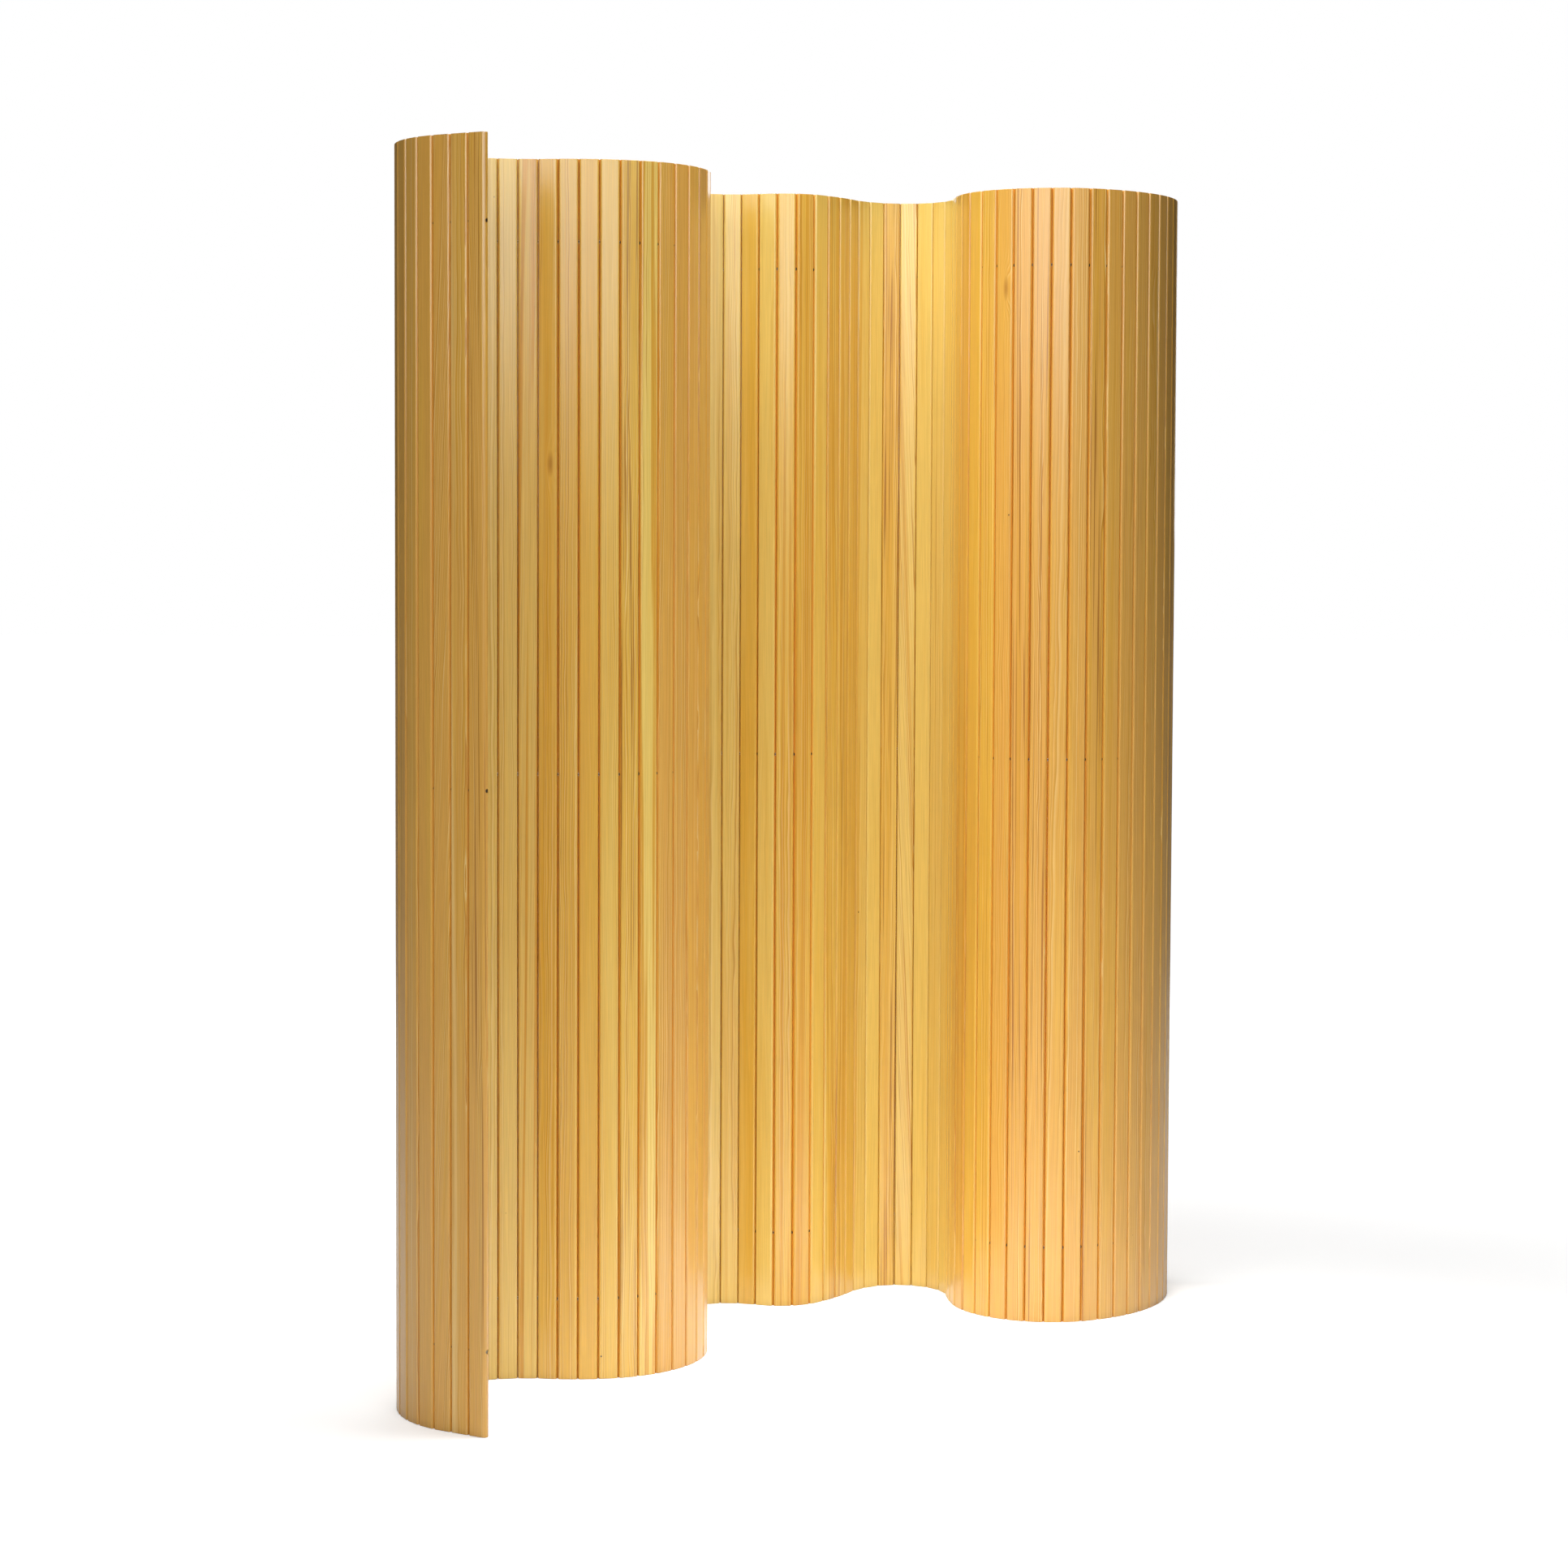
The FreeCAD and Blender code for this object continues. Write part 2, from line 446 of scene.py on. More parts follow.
def add(tree, kind, inputs=None, **settings):
    """Adds a shader node with its settings and its inputs."""
    made = tree.nodes.new("ShaderNode" + kind)
    for name, value in settings.items():
        setattr(made, name, value)
    plug(tree, made, inputs or {})
    return made


def new_material(name):
    """An empty material with its node tree and its surface shader."""
    material = bpy.data.materials.new(name)
    material.use_nodes = True
    tree = material.node_tree
    return material, tree, tree.nodes["Principled BSDF"]


def drawn_out(tree, log, across, along, detail, roughness=0.5):
    """Noise in cells of so many millimetres across the log and along it."""
    scale = (1 / across, 1 / across, 1 / along)
    at = add(tree, "VectorMath", {0: log, 1: scale}, operation="MULTIPLY").outputs[0]
    inputs = {"Vector": at, "Scale": 1.0, "Detail": detail, "Roughness": roughness}
    return add(tree, "TexNoise", inputs).outputs["Fac"]


def lay_over(tree, ground, layers):
    """Lays colours over the ground colour, one after the other, each as far as its mask goes."""
    for mask, layer in layers:
        ground = add(tree, "Mix", {0: mask, 6: ground, 7: layer}, data_type="RGBA").outputs[2]
    return ground


def year_rings(tree, log, wander_by, swell, contrast, spacing):
    """Masks of the late wood and of the first soft wood of each year's ring."""
    # Distance from the pith in millimetres, wandering by a few over a third of a metre
    wander = drawn_out(tree, log, 30, 330, 3.0)
    across = add(tree, "VectorMath", {0: log, 1: (1, 1, 0)}, operation="MULTIPLY").outputs[0]
    reach = add(tree, "VectorMath", {0: across}, operation="LENGTH").outputs["Value"]
    moved = add(tree, "Math", {0: wander, 1: wander_by, 2: reach}, operation="MULTIPLY_ADD").outputs[0]
    # Ripples of a millimetre or two, a hand's breadth long
    ripple = drawn_out(tree, log, 14, 75, 1.0)
    rippled = add(tree, "Math", {0: ripple, 1: 3.5, 2: moved}, operation="MULTIPLY_ADD").outputs[0]
    swelled = add(tree, "Math", {0: rippled, 1: swell}, operation="ADD").outputs[0]
    # Good and bad years come in runs, so the lines crowd and part over about 9 mm
    runs = add(tree, "Math", {0: swelled, 1: 1 / 9}, operation="MULTIPLY").outputs[0]
    crowding = add(tree, "TexNoise", {"W": runs, "Scale": 1.0, "Detail": 1.0}, noise_dimensions="1D")
    even = add(tree, "Math", {0: swelled, 1: spacing}, operation="DIVIDE").outputs[0]
    years = add(
        tree, "Math", {0: crowding.outputs["Fac"], 1: 2.2, 2: even}, operation="MULTIPLY_ADD"
    ).outputs[0]
    year = add(tree, "Math", {0: years}, operation="FLOOR").outputs[0]
    season = add(tree, "Math", {0: years}, operation="FRACT").outputs[0]
    growing = add(tree, "MapRange", {0: season, 1: 0.5, 2: 0.85}, interpolation_type="SMOOTHSTEP").outputs[0]
    winter = add(tree, "MapRange", {0: season, 1: 0.92, 2: 1.0, 3: 1.0, 4: 0.0}).outputs[0]
    spring = add(tree, "MapRange", {0: season, 1: 0.0, 2: 0.35, 3: 1.0, 4: 0.0}).outputs[0]
    good_year = add(tree, "TexWhiteNoise", {"W": year}, noise_dimensions="1D").outputs["Value"]
    yearly = add(tree, "MapRange", {0: good_year, 3: 0.3, 4: 1.0}).outputs[0]
    # Calm stretches, some 9 mm across and most of a metre long, where the lines fade
    calm = drawn_out(tree, log, 9, 800, 1.0)
    shown = add(
        tree, "MapRange", {0: calm, 1: 0.4, 2: 0.6, 3: 0.2, 4: 1.0}, interpolation_type="SMOOTHSTEP"
    ).outputs[0]
    strength = add(tree, "Math", {0: shown, 1: contrast}, operation="MULTIPLY").outputs[0]
    lined = add(tree, "Math", {0: strength, 1: yearly}, operation="MULTIPLY").outputs[0]
    dense = add(tree, "Math", {0: growing, 1: winter}, operation="MULTIPLY").outputs[0]
    late = add(tree, "Math", {0: dense, 1: lined}, operation="MULTIPLY", use_clamp=True).outputs[0]
    soft = add(tree, "Math", {0: spring, 1: lined}, operation="MULTIPLY", use_clamp=True).outputs[0]
    return late, soft


def resin_streaks(tree, log, streaking, knot_reach):
    """Mask of dark lines about 1 mm wide, where resin has gathered, and of the core of a knot."""
    streak = drawn_out(tree, log, 2.2, 520, 1.5)
    lines = add(tree, "MapRange", {0: streak, 1: 0.58, 2: 0.68}, interpolation_type="SMOOTHSTEP").outputs[0]
    drawn = add(tree, "Math", {0: lines, 1: streaking}, operation="MULTIPLY").outputs[0]
    core = add(tree, "MapRange", {0: knot_reach, 1: 0.8, 2: 4.5, 3: 0.55, 4: 0.0}).outputs[0]
    return add(tree, "Math", {0: drawn, 1: core}, operation="MAXIMUM").outputs[0]


def pin_knots(tree, log):
    """Mask of dark flecks about 1 mm across, one in every few hand's breadths of slat."""
    at = add(tree, "VectorMath", {0: log, 1: (1 / 45, 1 / 45, 1 / 70)}, operation="MULTIPLY").outputs[0]
    cell = add(tree, "TexVoronoi", {"Vector": at, "Scale": 1.0}).outputs
    size = add(tree, "SeparateColor", {0: cell["Color"]}).outputs[0]
    reach = add(tree, "MapRange", {0: size, 1: 0.5, 2: 1.0, 3: 0.0, 4: 0.02}).outputs[0]
    return add(tree, "Math", {0: cell["Distance"], 1: reach}, operation="LESS_THAN").outputs[0]


def joint_glow_mask(tree, outwards):
    """Mask of the last millimetre of the edges that meet: painted warm bounce light on the shaded groove."""
    edge = sizes().slat_width / 2 / MM
    return add(
        tree,
        "MapRange",
        {0: outwards, 1: edge - 0.9, 2: edge - 0.2, 3: 0.0, 4: 0.9},
        interpolation_type="SMOOTHSTEP",
    ).outputs[0]


def hole_shade_mask(tree, on_slat, outwards):
    """Mask of painted shade on the mouths and walls of the cable holes, which lie at equal steps up the slat.
    """
    _, middle, bottom = (height / MM for height in cable_heights())
    up = add(tree, "Math", {0: on_slat["Z"], 1: bottom}, operation="SUBTRACT").outputs[0]
    off_cable = add(tree, "Math", {0: up, 1: (middle - bottom) / 2}, operation="PINGPONG").outputs[0]
    beside = add(tree, "CombineXYZ", {1: on_slat["Y"], 2: off_cable}).outputs[0]
    from_hole = add(tree, "VectorMath", {0: beside}, operation="LENGTH").outputs["Value"]
    hole = sizes().hole_diameter / 2 / MM
    bored = add(tree, "MapRange", {0: from_hole, 1: hole, 2: hole + 0.4, 3: 1.0, 4: 0.0}).outputs[0]
    # Only the outer 5.5 mm of the slat's width, since the faces over a hole are whole
    edge = sizes().slat_width / 2 / MM
    at_edge = add(tree, "Math", {0: outwards, 1: edge - 5.5}, operation="GREATER_THAN").outputs[0]
    return add(tree, "Math", {0: bored, 1: at_edge}, operation="MULTIPLY").outputs[0]


def sawn_ends(tree, on_slat):
    """Mask of the sawn ends, which soak up lacquer and are darker than the faces."""
    half = sizes().slat_height / 2 / MM
    from_half = add(tree, "Math", {0: on_slat["Z"], 1: half}, operation="SUBTRACT").outputs[0]
    to_end = add(tree, "Math", {0: from_half}, operation="ABSOLUTE").outputs[0]
    return add(tree, "MapRange", {0: to_end, 1: half - 0.6, 2: half - 0.2, 3: 0.0, 4: 0.75}).outputs[0]


def lacquered_pine():
    """Scots pine, planed, sanded and clear-lacquered.

    Straw to deep honey early wood with thin amber late wood, one line a year, nearly upright and drawn 2 to
    4 mm apart so that it shows, calm and lined stretches side by side, finer upright fibres, warm bands and a
    few resin streaks and flecks on some boards, and a thin satin film. Over these lie painted warm bounce
    light along the edges that meet, painted shade in the cable holes, and a deeper tone as painted shade on
    the slats turned away from the light.
    """
    c = colours()
    material, tree, shader = new_material("lacquered_pine")
    log, board, figure, knot, slat = (
        add(tree, "Attribute", attribute_name=name).outputs["Vector"] for name in MARKS
    )
    tone, contrast, spacing = add(tree, "SeparateXYZ", {0: board}).outputs
    wander_by, banding, streaking = add(tree, "SeparateXYZ", {0: figure}).outputs
    on_slat = add(tree, "SeparateXYZ", {0: slat}).outputs
    outwards = add(tree, "Math", {0: on_slat["X"]}, operation="ABSOLUTE").outputs[0]

    # A knot or swirl swells the rings round it, four times as far along the slat as across it
    near_knot = add(tree, "VectorMath", {0: knot, 1: (1, 1, 0.25)}, operation="MULTIPLY").outputs[0]
    knot_reach = add(tree, "VectorMath", {0: near_knot}, operation="LENGTH").outputs["Value"]
    swell = add(
        tree, "MapRange", {0: knot_reach, 1: 0.0, 2: 14.0, 3: 7.0, 4: 0.0}, interpolation_type="SMOOTHERSTEP"
    ).outputs[0]
    late, soft = year_rings(tree, log, wander_by, swell, contrast, spacing)
    # Fibres 0.7 mm wide and a hand long, drawn that coarse to show in the picture
    fibre = drawn_out(tree, log, 0.7, 90, 2.5, 0.6)
    fine = add(tree, "MapRange", {0: fibre, 1: 0.3, 2: 0.7, 3: 0.88, 4: 1.07}).outputs[0]
    # Slow change of tone along and across the board
    cloud = drawn_out(tree, log, 11, 380, 2.0)
    cloud_shift = add(tree, "MapRange", {0: cloud, 1: 0.3, 2: 0.7, 3: -0.15, 4: 0.15}).outputs[0]
    own_tone = add(tree, "Math", {0: tone, 1: cloud_shift}, operation="ADD", use_clamp=True).outputs[0]
    low_half = add(tree, "MapRange", {0: own_tone, 1: 0.0, 2: 0.5}).outputs[0]
    high_half = add(tree, "MapRange", {0: own_tone, 1: 0.5, 2: 1.0}).outputs[0]
    # Warm bands a few millimetres wide that run far along the board
    band = drawn_out(tree, log, 7, 900, 0.5)
    banded = add(tree, "MapRange", {0: band, 1: 0.52, 2: 0.6}, interpolation_type="SMOOTHSTEP").outputs[0]
    warm = add(tree, "Math", {0: banded, 1: banding}, operation="MULTIPLY").outputs[0]

    figured = (
        (low_half, c.honey),
        (high_half, c.deep_and_shade),
        (warm, c.orange),
        (soft, c.cream),
        (late, c.amber),
    )
    ringed = lay_over(tree, c.straw, figured)
    fibred = add(
        tree, "Mix", {0: 1.0, 6: ringed, 7: fine}, data_type="RGBA", blend_type="MULTIPLY"
    ).outputs[2]
    marked = (
        (resin_streaks(tree, log, streaking, knot_reach), c.resin),
        (pin_knots(tree, log), c.fleck),
        # Painted warm bounce light on the shaded groove walls where slats meet
        (joint_glow_mask(tree, outwards), c.joint),
        # Painted shade in the mouths and walls of the cable holes
        (hole_shade_mask(tree, on_slat, outwards), c.hole_shade),
        (sawn_ends(tree, on_slat), c.sawn),
    )
    wood = lay_over(tree, fibred, marked)

    relief = add(tree, "Math", {0: late, 1: 0.5, 2: fibre}, operation="MULTIPLY_ADD").outputs[0]
    bump = add(tree, "Bump", {"Strength": 0.3, "Distance": 0.05 * MM, "Height": relief}).outputs[0]
    film = add(tree, "MapRange", {0: fibre, 1: 0.3, 2: 0.7, 3: 0.45, 4: 0.55}).outputs[0]
    plug(tree, shader, {"Base Color": wood, "Roughness": film, "Normal": bump})
    plug(tree, shader, {"IOR": 1.5, "Specular IOR Level": 0.15})
    plug(tree, shader, {"Coat Weight": 1.0, "Coat Roughness": 0.22, "Coat IOR": 1.6})
    return material


def board_marks(mesh, number):
    """Writes on a slat's vertices where they lay in the log, how its board looks, and how far its knot is."""
    draw = random.Random(BOARD_SEED + number)
    # The board's turn in the log: quarter-sawn, either way round, or turned further
    turns = (draw.gauss(0, 0.4), draw.gauss(math.pi, 0.4), min(1.1, max(-1.1, draw.gauss(0, 0.8))))
    turn = draw.choice(turns)
    # Millimetres from the pith, slope of the board against the log, and millimetres along the log
    pith = draw.uniform(35, 120)
    lean = [draw.gauss(0, 0.004), draw.gauss(0, 0.004)]
    along = draw.uniform(-LOG_REACH, LOG_REACH)
    # Tone from pale to deep, strength of the rings, and millimetres from ring to ring
    tone = draw.uniform(0.15, 0.45)
    contrast = draw.uniform(0.5, 0.95)
    spacing = draw.uniform(2.0, 3.6)
    # Millimetres by which the rings wander, and strength of warm bands and of resin streaks
    wander = draw.uniform(5, 11)
    banding = draw.choice((0, 0, 0.3, 0.6))
    streaking = draw.choice((0, 0, 0, 0.15, 0.3))
    if number in PALE_SLATS:
        tone = draw.uniform(0.0, 0.05)
    if number in RICH_SLATS:
        tone = draw.uniform(0.5, 0.65)
    # Painted shade: the slats turned away from the light take the deep, redder tone
    if number in SHADED_SLATS:
        tone = draw.uniform(0.9, 1.0)
    if number in PLAIN_SLATS:
        contrast, banding, streaking = 0.12, 0, 0
    if number in STREAKED_SLATS:
        contrast, wander, streaking = 1.0, 15, 0.7
    if number in BANDED_SLATS:
        banding = 0.9
    if number in SLANTED_SLATS:
        lean = [0.045, 0.01]
        contrast = 0.9
    knot = NO_KNOT
    if number in SWIRLS:
        height, place = SWIRLS[number]
        knot = Vector((place * sizes().slat_width / 2, -sizes().slat_thickness / 2, height)) / MM
    half = sizes().slat_height / 2 / MM
    laid = Matrix.Rotation(turn, 3, "Z")
    marks = {name: [] for name in MARKS}
    for vertex in mesh.vertices:
        x, y, z = vertex.co / MM
        at = laid @ Vector((x + lean[0] * (z - half), y + lean[1] * (z - half), 0))
        marks["log_mm"] += (at.x + pith, at.y, z + along)
        marks["board"] += (tone, contrast, spacing)
        marks["figure"] += (wander, banding, streaking)
        marks["knot_mm"] += (x - knot.x, y - knot.y, z - knot.z)
        free = number in FREE_EDGES and x * FREE_EDGES[number] > 0
        marks["slat_mm"] += (x * FREE_EDGE_MARK if free else x, y, z)
    for name, values in marks.items():
        mesh.attributes.new(name, "FLOAT_VECTOR", "POINT").data.foreach_set("vector", values)


class SCREEN_OT_slats(bpy.types.Operator):
    """Models one pine slat and its two end variants, and stands copies of them in the wave"""

    bl_idname = "screen.slats"
    bl_label = "Pine slats"

    def execute(self, context):
        pine = lacquered_pine()
        boards = {edge: make_slat(edge) for edge in (0, -1, 1)}
        places = slat_places()
        if len(places) != len(SLAT_NODES):
            raise RuntimeError("the wave and the frame do not have the same number of slats")
        for number, place in places.items():
            mesh = boards[FREE_EDGES.get(number, 0)].data.copy()
            board_marks(mesh, number)
            mesh.transform(stand(place))
            mesh.materials.append(pine)
            name = f"pine_slat_{number:02d}"
            slat = bpy.data.objects.new(name, mesh)
            mesh.name = name
            context.scene.collection.objects.link(slat)
            node = SLAT_NODES[number]
            low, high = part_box(node)
            if any(not low[k] - OFF_PLACE < place[1][k] < high[k] + OFF_PLACE for k in range(2)):
                raise RuntimeError(f"slat {number} does not stand where the frame has it")
            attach(slat, node)
            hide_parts(node)
        for board in boards.values():
            bpy.data.objects.remove(board, do_unlink=True)
        return {"FINISHED"}


def galvanised_wire_rope():
    """Galvanised steel wire rope, seven wires laid in a slow twist: dull ridges between grooves of painted
    shade.
    """
    c = colours()
    material, tree, shader = new_material("galvanised_wire_rope")
    laid = add(tree, "Attribute", attribute_name="lay_mm").outputs["Vector"]
    along, side, up = add(tree, "SeparateXYZ", {0: laid}).outputs
    angle = add(tree, "Math", {0: side, 1: up}, operation="ARCTAN2").outputs[0]
    wires = add(tree, "Math", {0: angle, 1: OUTER_WIRES}, operation="MULTIPLY").outputs[0]
    turn = 2 * OUTER_WIRES * math.pi / WIRE_LAY
    twist = add(tree, "Math", {0: along, 1: turn, 2: wires}, operation="MULTIPLY_ADD").outputs[0]
    wave = add(tree, "Math", {0: twist}, operation="COSINE").outputs[0]
    ridge = add(tree, "MapRange", {0: wave, 1: -1.0, 2: 0.2}, interpolation_type="SMOOTHSTEP").outputs[0]
    # The grooves between the wires carry painted shade, and the steel colour is darkened as painted shade
    steel = lay_over(tree, c.groove_shade, [(ridge, c.steel)])
    bump = add(tree, "Bump", {"Strength": 0.8, "Distance": 0.15 * MM, "Height": ridge}).outputs[0]
    plug(tree, shader, {"Base Color": steel, "Normal": bump, "Metallic": 1.0, "Roughness": 0.35})
    return material


def make_run(reach, ball_ends):
    """A straight run of cable along X from the origin, with balls where it meets the next runs at hinges."""
    radius = sizes().cable_diameter / 2
    ends = {-1: -radius if -1 in ball_ends else 0, 1: reach + (radius if 1 in ball_ends else 0)}
    run = round_bar(CABLE_SIDES, radius, ends[-1], ends[1])
    bpy.ops.object.mode_set(mode="EDIT")
    for side in ball_ends:
        pick_edges(run, lambda co: abs(co.x - ends[side]) < TINY)
        bpy.ops.mesh.bevel(offset=radius, segments=2, profile=0.5, affect="EDGES", clamp_overlap=False)
    merge_all()
    bpy.ops.object.mode_set(mode="OBJECT")
    bpy.ops.object.shade_smooth_by_angle(angle=SMOOTH_TURN)
    return run


class SCREEN_OT_cables(bpy.types.Operator):
    """Models a run of cable and threads copies of it through the slats of each body"""

    bl_idname = "screen.cables"
    bl_label = "Steel cables"

    def execute(self, context):
        s = sizes()
        steel = galvanised_wire_rope()
        end_reach = pitch() / 2 + s.slat_width / 2 - s.stop_sunk
        runs = {0: make_run(pitch(), (-1, 1)), -1: make_run(end_reach, (1,)), 1: make_run(end_reach, (-1,))}
        starts = {0: -pitch() / 2, -1: pitch() / 2 - end_reach, 1: -pitch() / 2}
        made = {}
        for number, place in slat_places().items():
            edge = FREE_EDGES.get(number, 0)
            for height in cable_heights():
                mesh = runs[edge].data.copy()
                lay = mesh.attributes.new("lay_mm", "FLOAT_VECTOR", "POINT")
                for k, vertex in enumerate(mesh.vertices):
                    x, y, z = vertex.co
                    lay.data[k].vector = ((x + starts[edge] + number * pitch()) / MM, y / MM, z / MM)
                mesh.transform(stand(place) @ Matrix.Translation((starts[edge], 0, height)))
                run = bpy.data.objects.new("cable_run", mesh)
                context.scene.collection.objects.link(run)
                made.setdefault(SLAT_NODES[number], []).append(run)
        for node, threaded in made.items():
            start_fresh()
            for run in threaded:
                run.select_set(True)
            context.view_layer.objects.active = threaded[0]
            bpy.ops.object.join()
            runs_here = threaded[0]
            runs_here.name = runs_here.data.name = node.replace("slat", "cable_runs")
            runs_here.data.materials.append(steel)
            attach(runs_here, node)
            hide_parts(*CABLE_NODES)
        for run in runs.values():
            bpy.data.objects.remove(run, do_unlink=True)
        return {"FINISHED"}


def crimped_aluminium():
    """Soft aluminium sleeve squeezed in a hand press: dull warm grey darkened as painted shade, satin, finely
    scuffed all over.
    """
    c = colours()
    material, tree, shader = new_material("crimped_aluminium")
    place = add(tree, "TexCoord").outputs["Object"]
    at = add(tree, "VectorMath", {0: place, 1: [1 / SCUFF] * 3}, operation="MULTIPLY").outputs[0]
    scuff = add(tree, "TexNoise", {"Vector": at, "Scale": 1.0, "Detail": 3.0}).outputs["Fac"]
    shade = add(tree, "MapRange", {0: scuff, 1: 0.3, 2: 0.7, 3: 0.75, 4: 1.05}).outputs[0]
    # The metal colour carries painted shade of the recess
    metal = add(
        tree, "Mix", {0: 1.0, 6: c.aluminium, 7: shade}, data_type="RGBA", blend_type="MULTIPLY"
    ).outputs[2]
    satin = add(tree, "MapRange", {0: scuff, 1: 0.3, 2: 0.7, 3: 0.3, 4: 0.45}).outputs[0]
    bump = add(tree, "Bump", {"Strength": 0.2, "Distance": 0.02 * MM, "Height": scuff}).outputs[0]
    plug(tree, shader, {"Base Color": metal, "Roughness": satin, "Normal": bump, "Metallic": 1.0})
    return material


def make_stop():
    """One crimped stop along X, middle on the origin: a sleeve with eased rims and two squeezed waists."""
    s = sizes()
    half = s.stop_length / 2
    radius = s.stop_diameter / 2
    bore = s.cable_diameter / 2 + STOP_PLAY
    stop = round_bar(STOP_SIDES, radius, -half, half)
    bpy.ops.object.mode_set(mode="EDIT")
    # The two round ends are the only faces with more than four corners
    pick(stop, "FACE", lambda face: len(face.verts) > 4)
    bpy.ops.mesh.inset(thickness=radius - bore, depth=0)
    bpy.ops.mesh.bridge_edge_loops()
    for end in (-half, half):
        pick_edges(stop, lambda co: abs(co.x - end) < TINY and co.yz.length > radius - TINY)
        bpy.ops.mesh.bevel(offset=STOP_EASING, segments=3, profile=0.5, affect="EDGES", clamp_overlap=False)
    wall = (radius + bore) / 2
    for waist in (-WAIST_FROM_MIDDLE, WAIST_FROM_MIDDLE):
        for cut in (-WAIST_RISE, -WAIST_FLAT, WAIST_FLAT, WAIST_RISE):
            bpy.ops.mesh.select_all(action="SELECT")
            bpy.ops.mesh.bisect(plane_co=(waist + cut, 0, 0), plane_no=(1, 0, 0))
        pick_vertices(stop, lambda co: abs(co.x - waist) < WAIST_FLAT + TINY and co.yz.length > wall)
        bpy.ops.transform.resize(value=WAIST_SQUEEZE, center_override=(waist, 0, 0))
    merge_all()
    bpy.ops.object.mode_set(mode="OBJECT")
    bpy.ops.object.shade_smooth_by_angle(angle=STOP_SMOOTH_TURN)
    return stop


class SCREEN_OT_stops(bpy.types.Operator):
    """Models a crimped cable stop and seats copies of it in the free edges of the two end slats"""

    bl_idname = "screen.stops"
    bl_label = "Cable stops"

    def execute(self, context):
        s = sizes()
        aluminium = crimped_aluminium()
        pattern = make_stop()
        places = slat_places()
        reach = s.slat_width / 2 - s.stop_sunk - s.stop_length / 2
        for number, node in STOP_NODES.items():
            for height, level in zip(cable_heights(), ("upper", "middle", "lower")):
                seat = Matrix.Translation((FREE_EDGES[number] * reach, 0, height))
                mesh = pattern.data.copy()
                mesh.transform(stand(places[number]) @ seat)
                mesh.materials.append(aluminium)
                name = node.replace("cable_stops", level + "_stop")
                stop = bpy.data.objects.new(name, mesh)
                mesh.name = name
                context.scene.collection.objects.link(stop)
                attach(stop, SLAT_NODES[number])
                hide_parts(node)
        bpy.data.objects.remove(pattern, do_unlink=True)
        return {"FINISHED"}


def white_to_the_eye(tree, mirrored):
    """Socket that is 1 for rays from the camera and through glass, mirrored for gloss, and otherwise 0."""
    path = add(tree, "LightPath").outputs
    gloss = add(tree, "Math", {0: path["Is Glossy Ray"], 1: mirrored}, operation="MULTIPLY").outputs[0]
    seen = add(tree, "Math", {0: path["Is Camera Ray"], 1: gloss}, operation="MAXIMUM").outputs[0]
    return add(tree, "Math", {0: seen, 1: path["Is Transmission Ray"]}, operation="MAXIMUM").outputs[0]


def studio_floor():
    """Matt white studio floor: soft shadows stay, and its own glow to the eye lifts the rest to white."""
    material, tree, shader = new_material("matt_studio_floor")
    place = add(tree, "TexCoord").outputs["Object"]
    # Faint specks in the paint, 300 to a metre
    speck = add(tree, "TexNoise", {"Vector": place, "Scale": 300.0}).outputs["Fac"]
    tone = add(tree, "MapRange", {0: speck, 3: 0.97, 4: 1.0}).outputs[0]
    paint = add(
        tree, "Mix", {0: 1.0, 6: colours().floor, 7: tone}, data_type="RGBA", blend_type="MULTIPLY"
    ).outputs[2]
    # The glow grows from 0.7 m out to 3 m
    away = add(tree, "VectorMath", {0: place}, operation="LENGTH").outputs["Value"]
    glow = add(
        tree, "MapRange", {0: away, 1: 0.7, 2: 3.0, 3: 0.4, 4: 1.0}, interpolation_type="SMOOTHSTEP"
    ).outputs[0]
    seen = white_to_the_eye(tree, MIRRORED_FLOOR)
    lift = add(tree, "Math", {0: seen, 1: glow}, operation="MULTIPLY").outputs[0]
    plug(tree, shader, {"Base Color": paint, "Roughness": 0.9, "Specular IOR Level": 0.1})
    plug(tree, shader, {"Emission Color": (1, 1, 1, 1), "Emission Strength": lift})
    return material


def studio_world():
    """White all round to the eye, and for the object a weak fill from behind it."""
    world = bpy.data.worlds.new("studio")
    world.use_nodes = True
    tree = world.node_tree
    towards = add(tree, "SeparateXYZ", {0: add(tree, "TexCoord").outputs["Generated"]}).outputs
    behind = add(tree, "MapRange", {0: towards["Y"], 1: 0.4, 2: 0.9}).outputs[0]
    fill = add(tree, "Math", {0: behind, 1: BACK_FILL}, operation="MULTIPLY").outputs[0]
    lit = add(tree, "LightPath").outputs["Is Diffuse Ray"]
    on_object = add(tree, "Math", {0: lit, 1: fill}, operation="MULTIPLY").outputs[0]
    seen = white_to_the_eye(tree, MIRRORED_WORLD)
    light = add(tree, "Math", {0: seen, 1: on_object}, operation="MAXIMUM").outputs[0]
    plug(tree, tree.nodes["Background"], {"Color": (1, 1, 1, 1), "Strength": light})
    return world


def area_lamp(name, place, target, size, spread, radiance):
    """A soft rectangular lamp that faces target. A radiance of 1 is that of white paint in full light."""
    width, height = size
    data = bpy.data.lights.new(name, "AREA")
    data.shape, data.size, data.size_y = "RECTANGLE", width, height
    data.energy = radiance * math.pi * width * height
    data.spread = math.radians(spread)
    lamp = bpy.data.objects.new(name, data)
    lamp.location = place
    lamp.rotation_euler = (Vector(target) - Vector(place)).to_track_quat("-Z", "Y").to_euler()
    lamp.visible_camera = False
    bpy.context.scene.collection.objects.link(lamp)
    return lamp


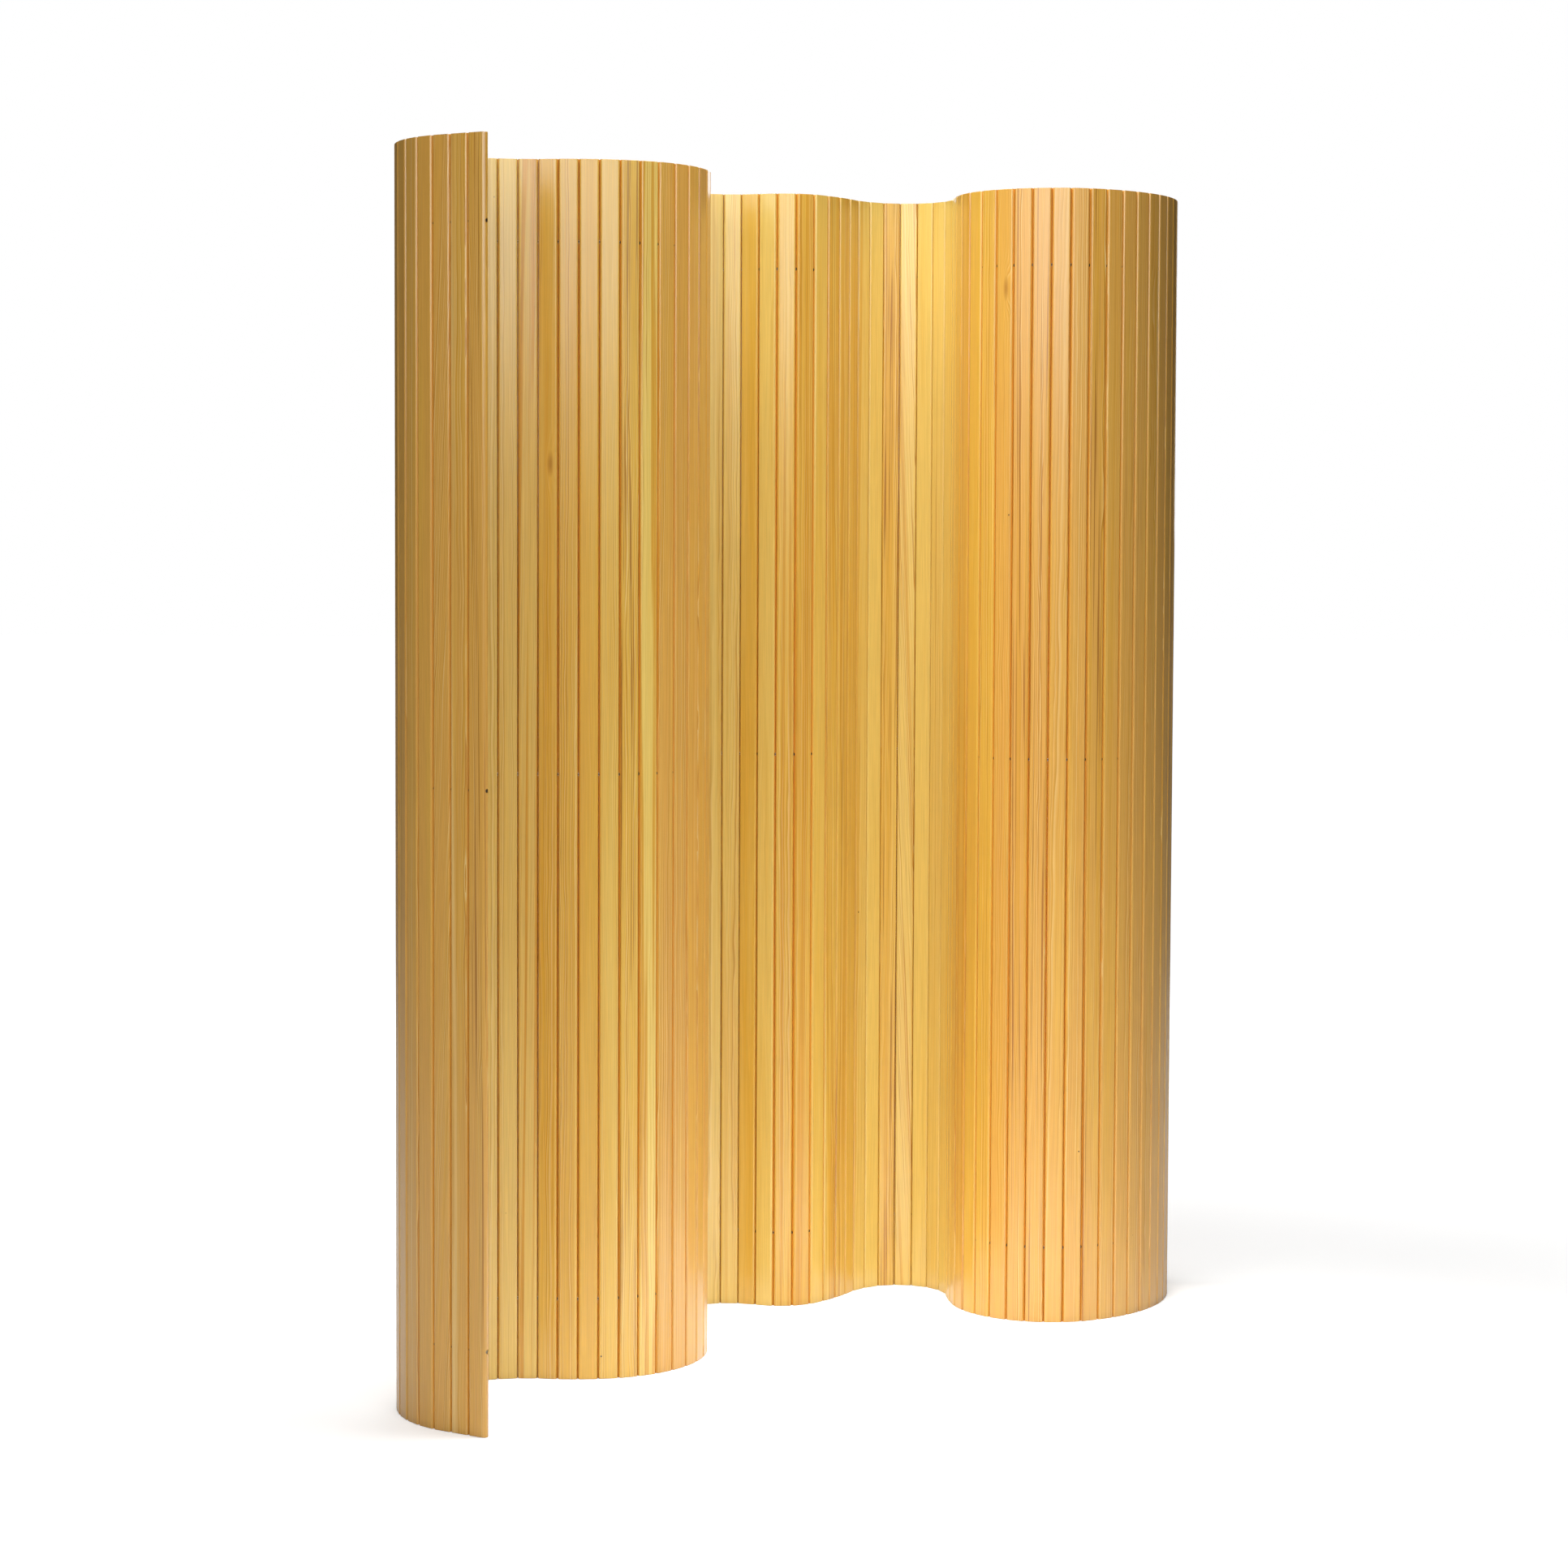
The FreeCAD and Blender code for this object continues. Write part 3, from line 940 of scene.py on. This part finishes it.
def set_camera(scene):
    """Stands the camera at the photograph's place and angle."""
    stage = scene.screen_stage
    data = bpy.data.cameras.new("camera")
    data.lens = stage.lens
    data.shift_y = stage.shift
    camera = bpy.data.objects.new("camera", data)
    tilt, roll, turn = stage.camera_turn
    aim = (
        Matrix.Rotation(-turn, 4, "Z")
        @ Matrix.Rotation(math.pi / 2 + tilt, 4, "X")
        @ Matrix.Rotation(roll, 4, "Z")
    )
    camera.matrix_world = Matrix.Translation(stage.camera_place) @ aim
    scene.collection.objects.link(camera)
    scene.camera = camera


class SCREEN_OT_stage(bpy.types.Operator):
    """Lays the floor, hangs the lamps and sets the camera at the photograph's angle"""

    bl_idname = "screen.stage"
    bl_label = "Stage"

    def execute(self, context):
        scene = context.scene
        start_fresh()
        bpy.ops.mesh.primitive_plane_add(size=FLOOR_SIZE, location=(0, 0, -FLOOR_BELOW))
        floor = context.object
        floor.name = "studio_floor"
        bpy.ops.object.transform_apply(location=True, rotation=True, scale=True)
        floor.data.materials.append(studio_floor())
        for name, setting in LAMPS.items():
            lamp = area_lamp(name, *setting, getattr(scene.screen_stage, name))
            # The card gives soft light from below, and no gloss shows it
            lamp.visible_glossy = name != "floor_card"
        scene.world = studio_world()
        set_camera(scene)
        scene.view_settings.view_transform = "Standard"
        return {"FINISHED"}


class SCREEN_PT_panel(bpy.types.Panel):
    """The screen's sizes, colours and steps"""

    bl_idname = "SCREEN_PT_panel"
    bl_label = "Flexible slatted screen"
    bl_space_type = "VIEW_3D"
    bl_region_type = "UI"
    bl_category = "Screen"

    def draw(self, context):
        for group in (context.scene.screen_sizes, context.scene.screen_colours, context.scene.screen_stage):
            box = self.layout.box()
            for name in group.__annotations__:
                box.prop(group, name)
        for step in STEPS:
            self.layout.operator(step.bl_idname)


STEPS = (SCREEN_OT_slats, SCREEN_OT_cables, SCREEN_OT_stops, SCREEN_OT_stage)
CLASSES = (ScreenSizes, ScreenColours, ScreenStage, *STEPS, SCREEN_PT_panel)


def register():
    """Adds the classes and the settings to Blender."""
    for cls in CLASSES:
        bpy.utils.register_class(cls)
    bpy.types.Scene.screen_sizes = PointerProperty(type=ScreenSizes)
    bpy.types.Scene.screen_colours = PointerProperty(type=ScreenColours)
    bpy.types.Scene.screen_stage = PointerProperty(type=ScreenStage)


def unregister():
    """Takes the settings and the classes out of Blender again."""
    del bpy.types.Scene.screen_stage
    del bpy.types.Scene.screen_colours
    del bpy.types.Scene.screen_sizes
    for cls in reversed(CLASSES):
        bpy.utils.unregister_class(cls)


def main():
    """Builds the pieces and the stage."""
    register()
    bpy.ops.screen.slats()
    bpy.ops.screen.cables()
    bpy.ops.screen.stops()
    bpy.ops.screen.stage()


if __name__ == "__main__":
    main()
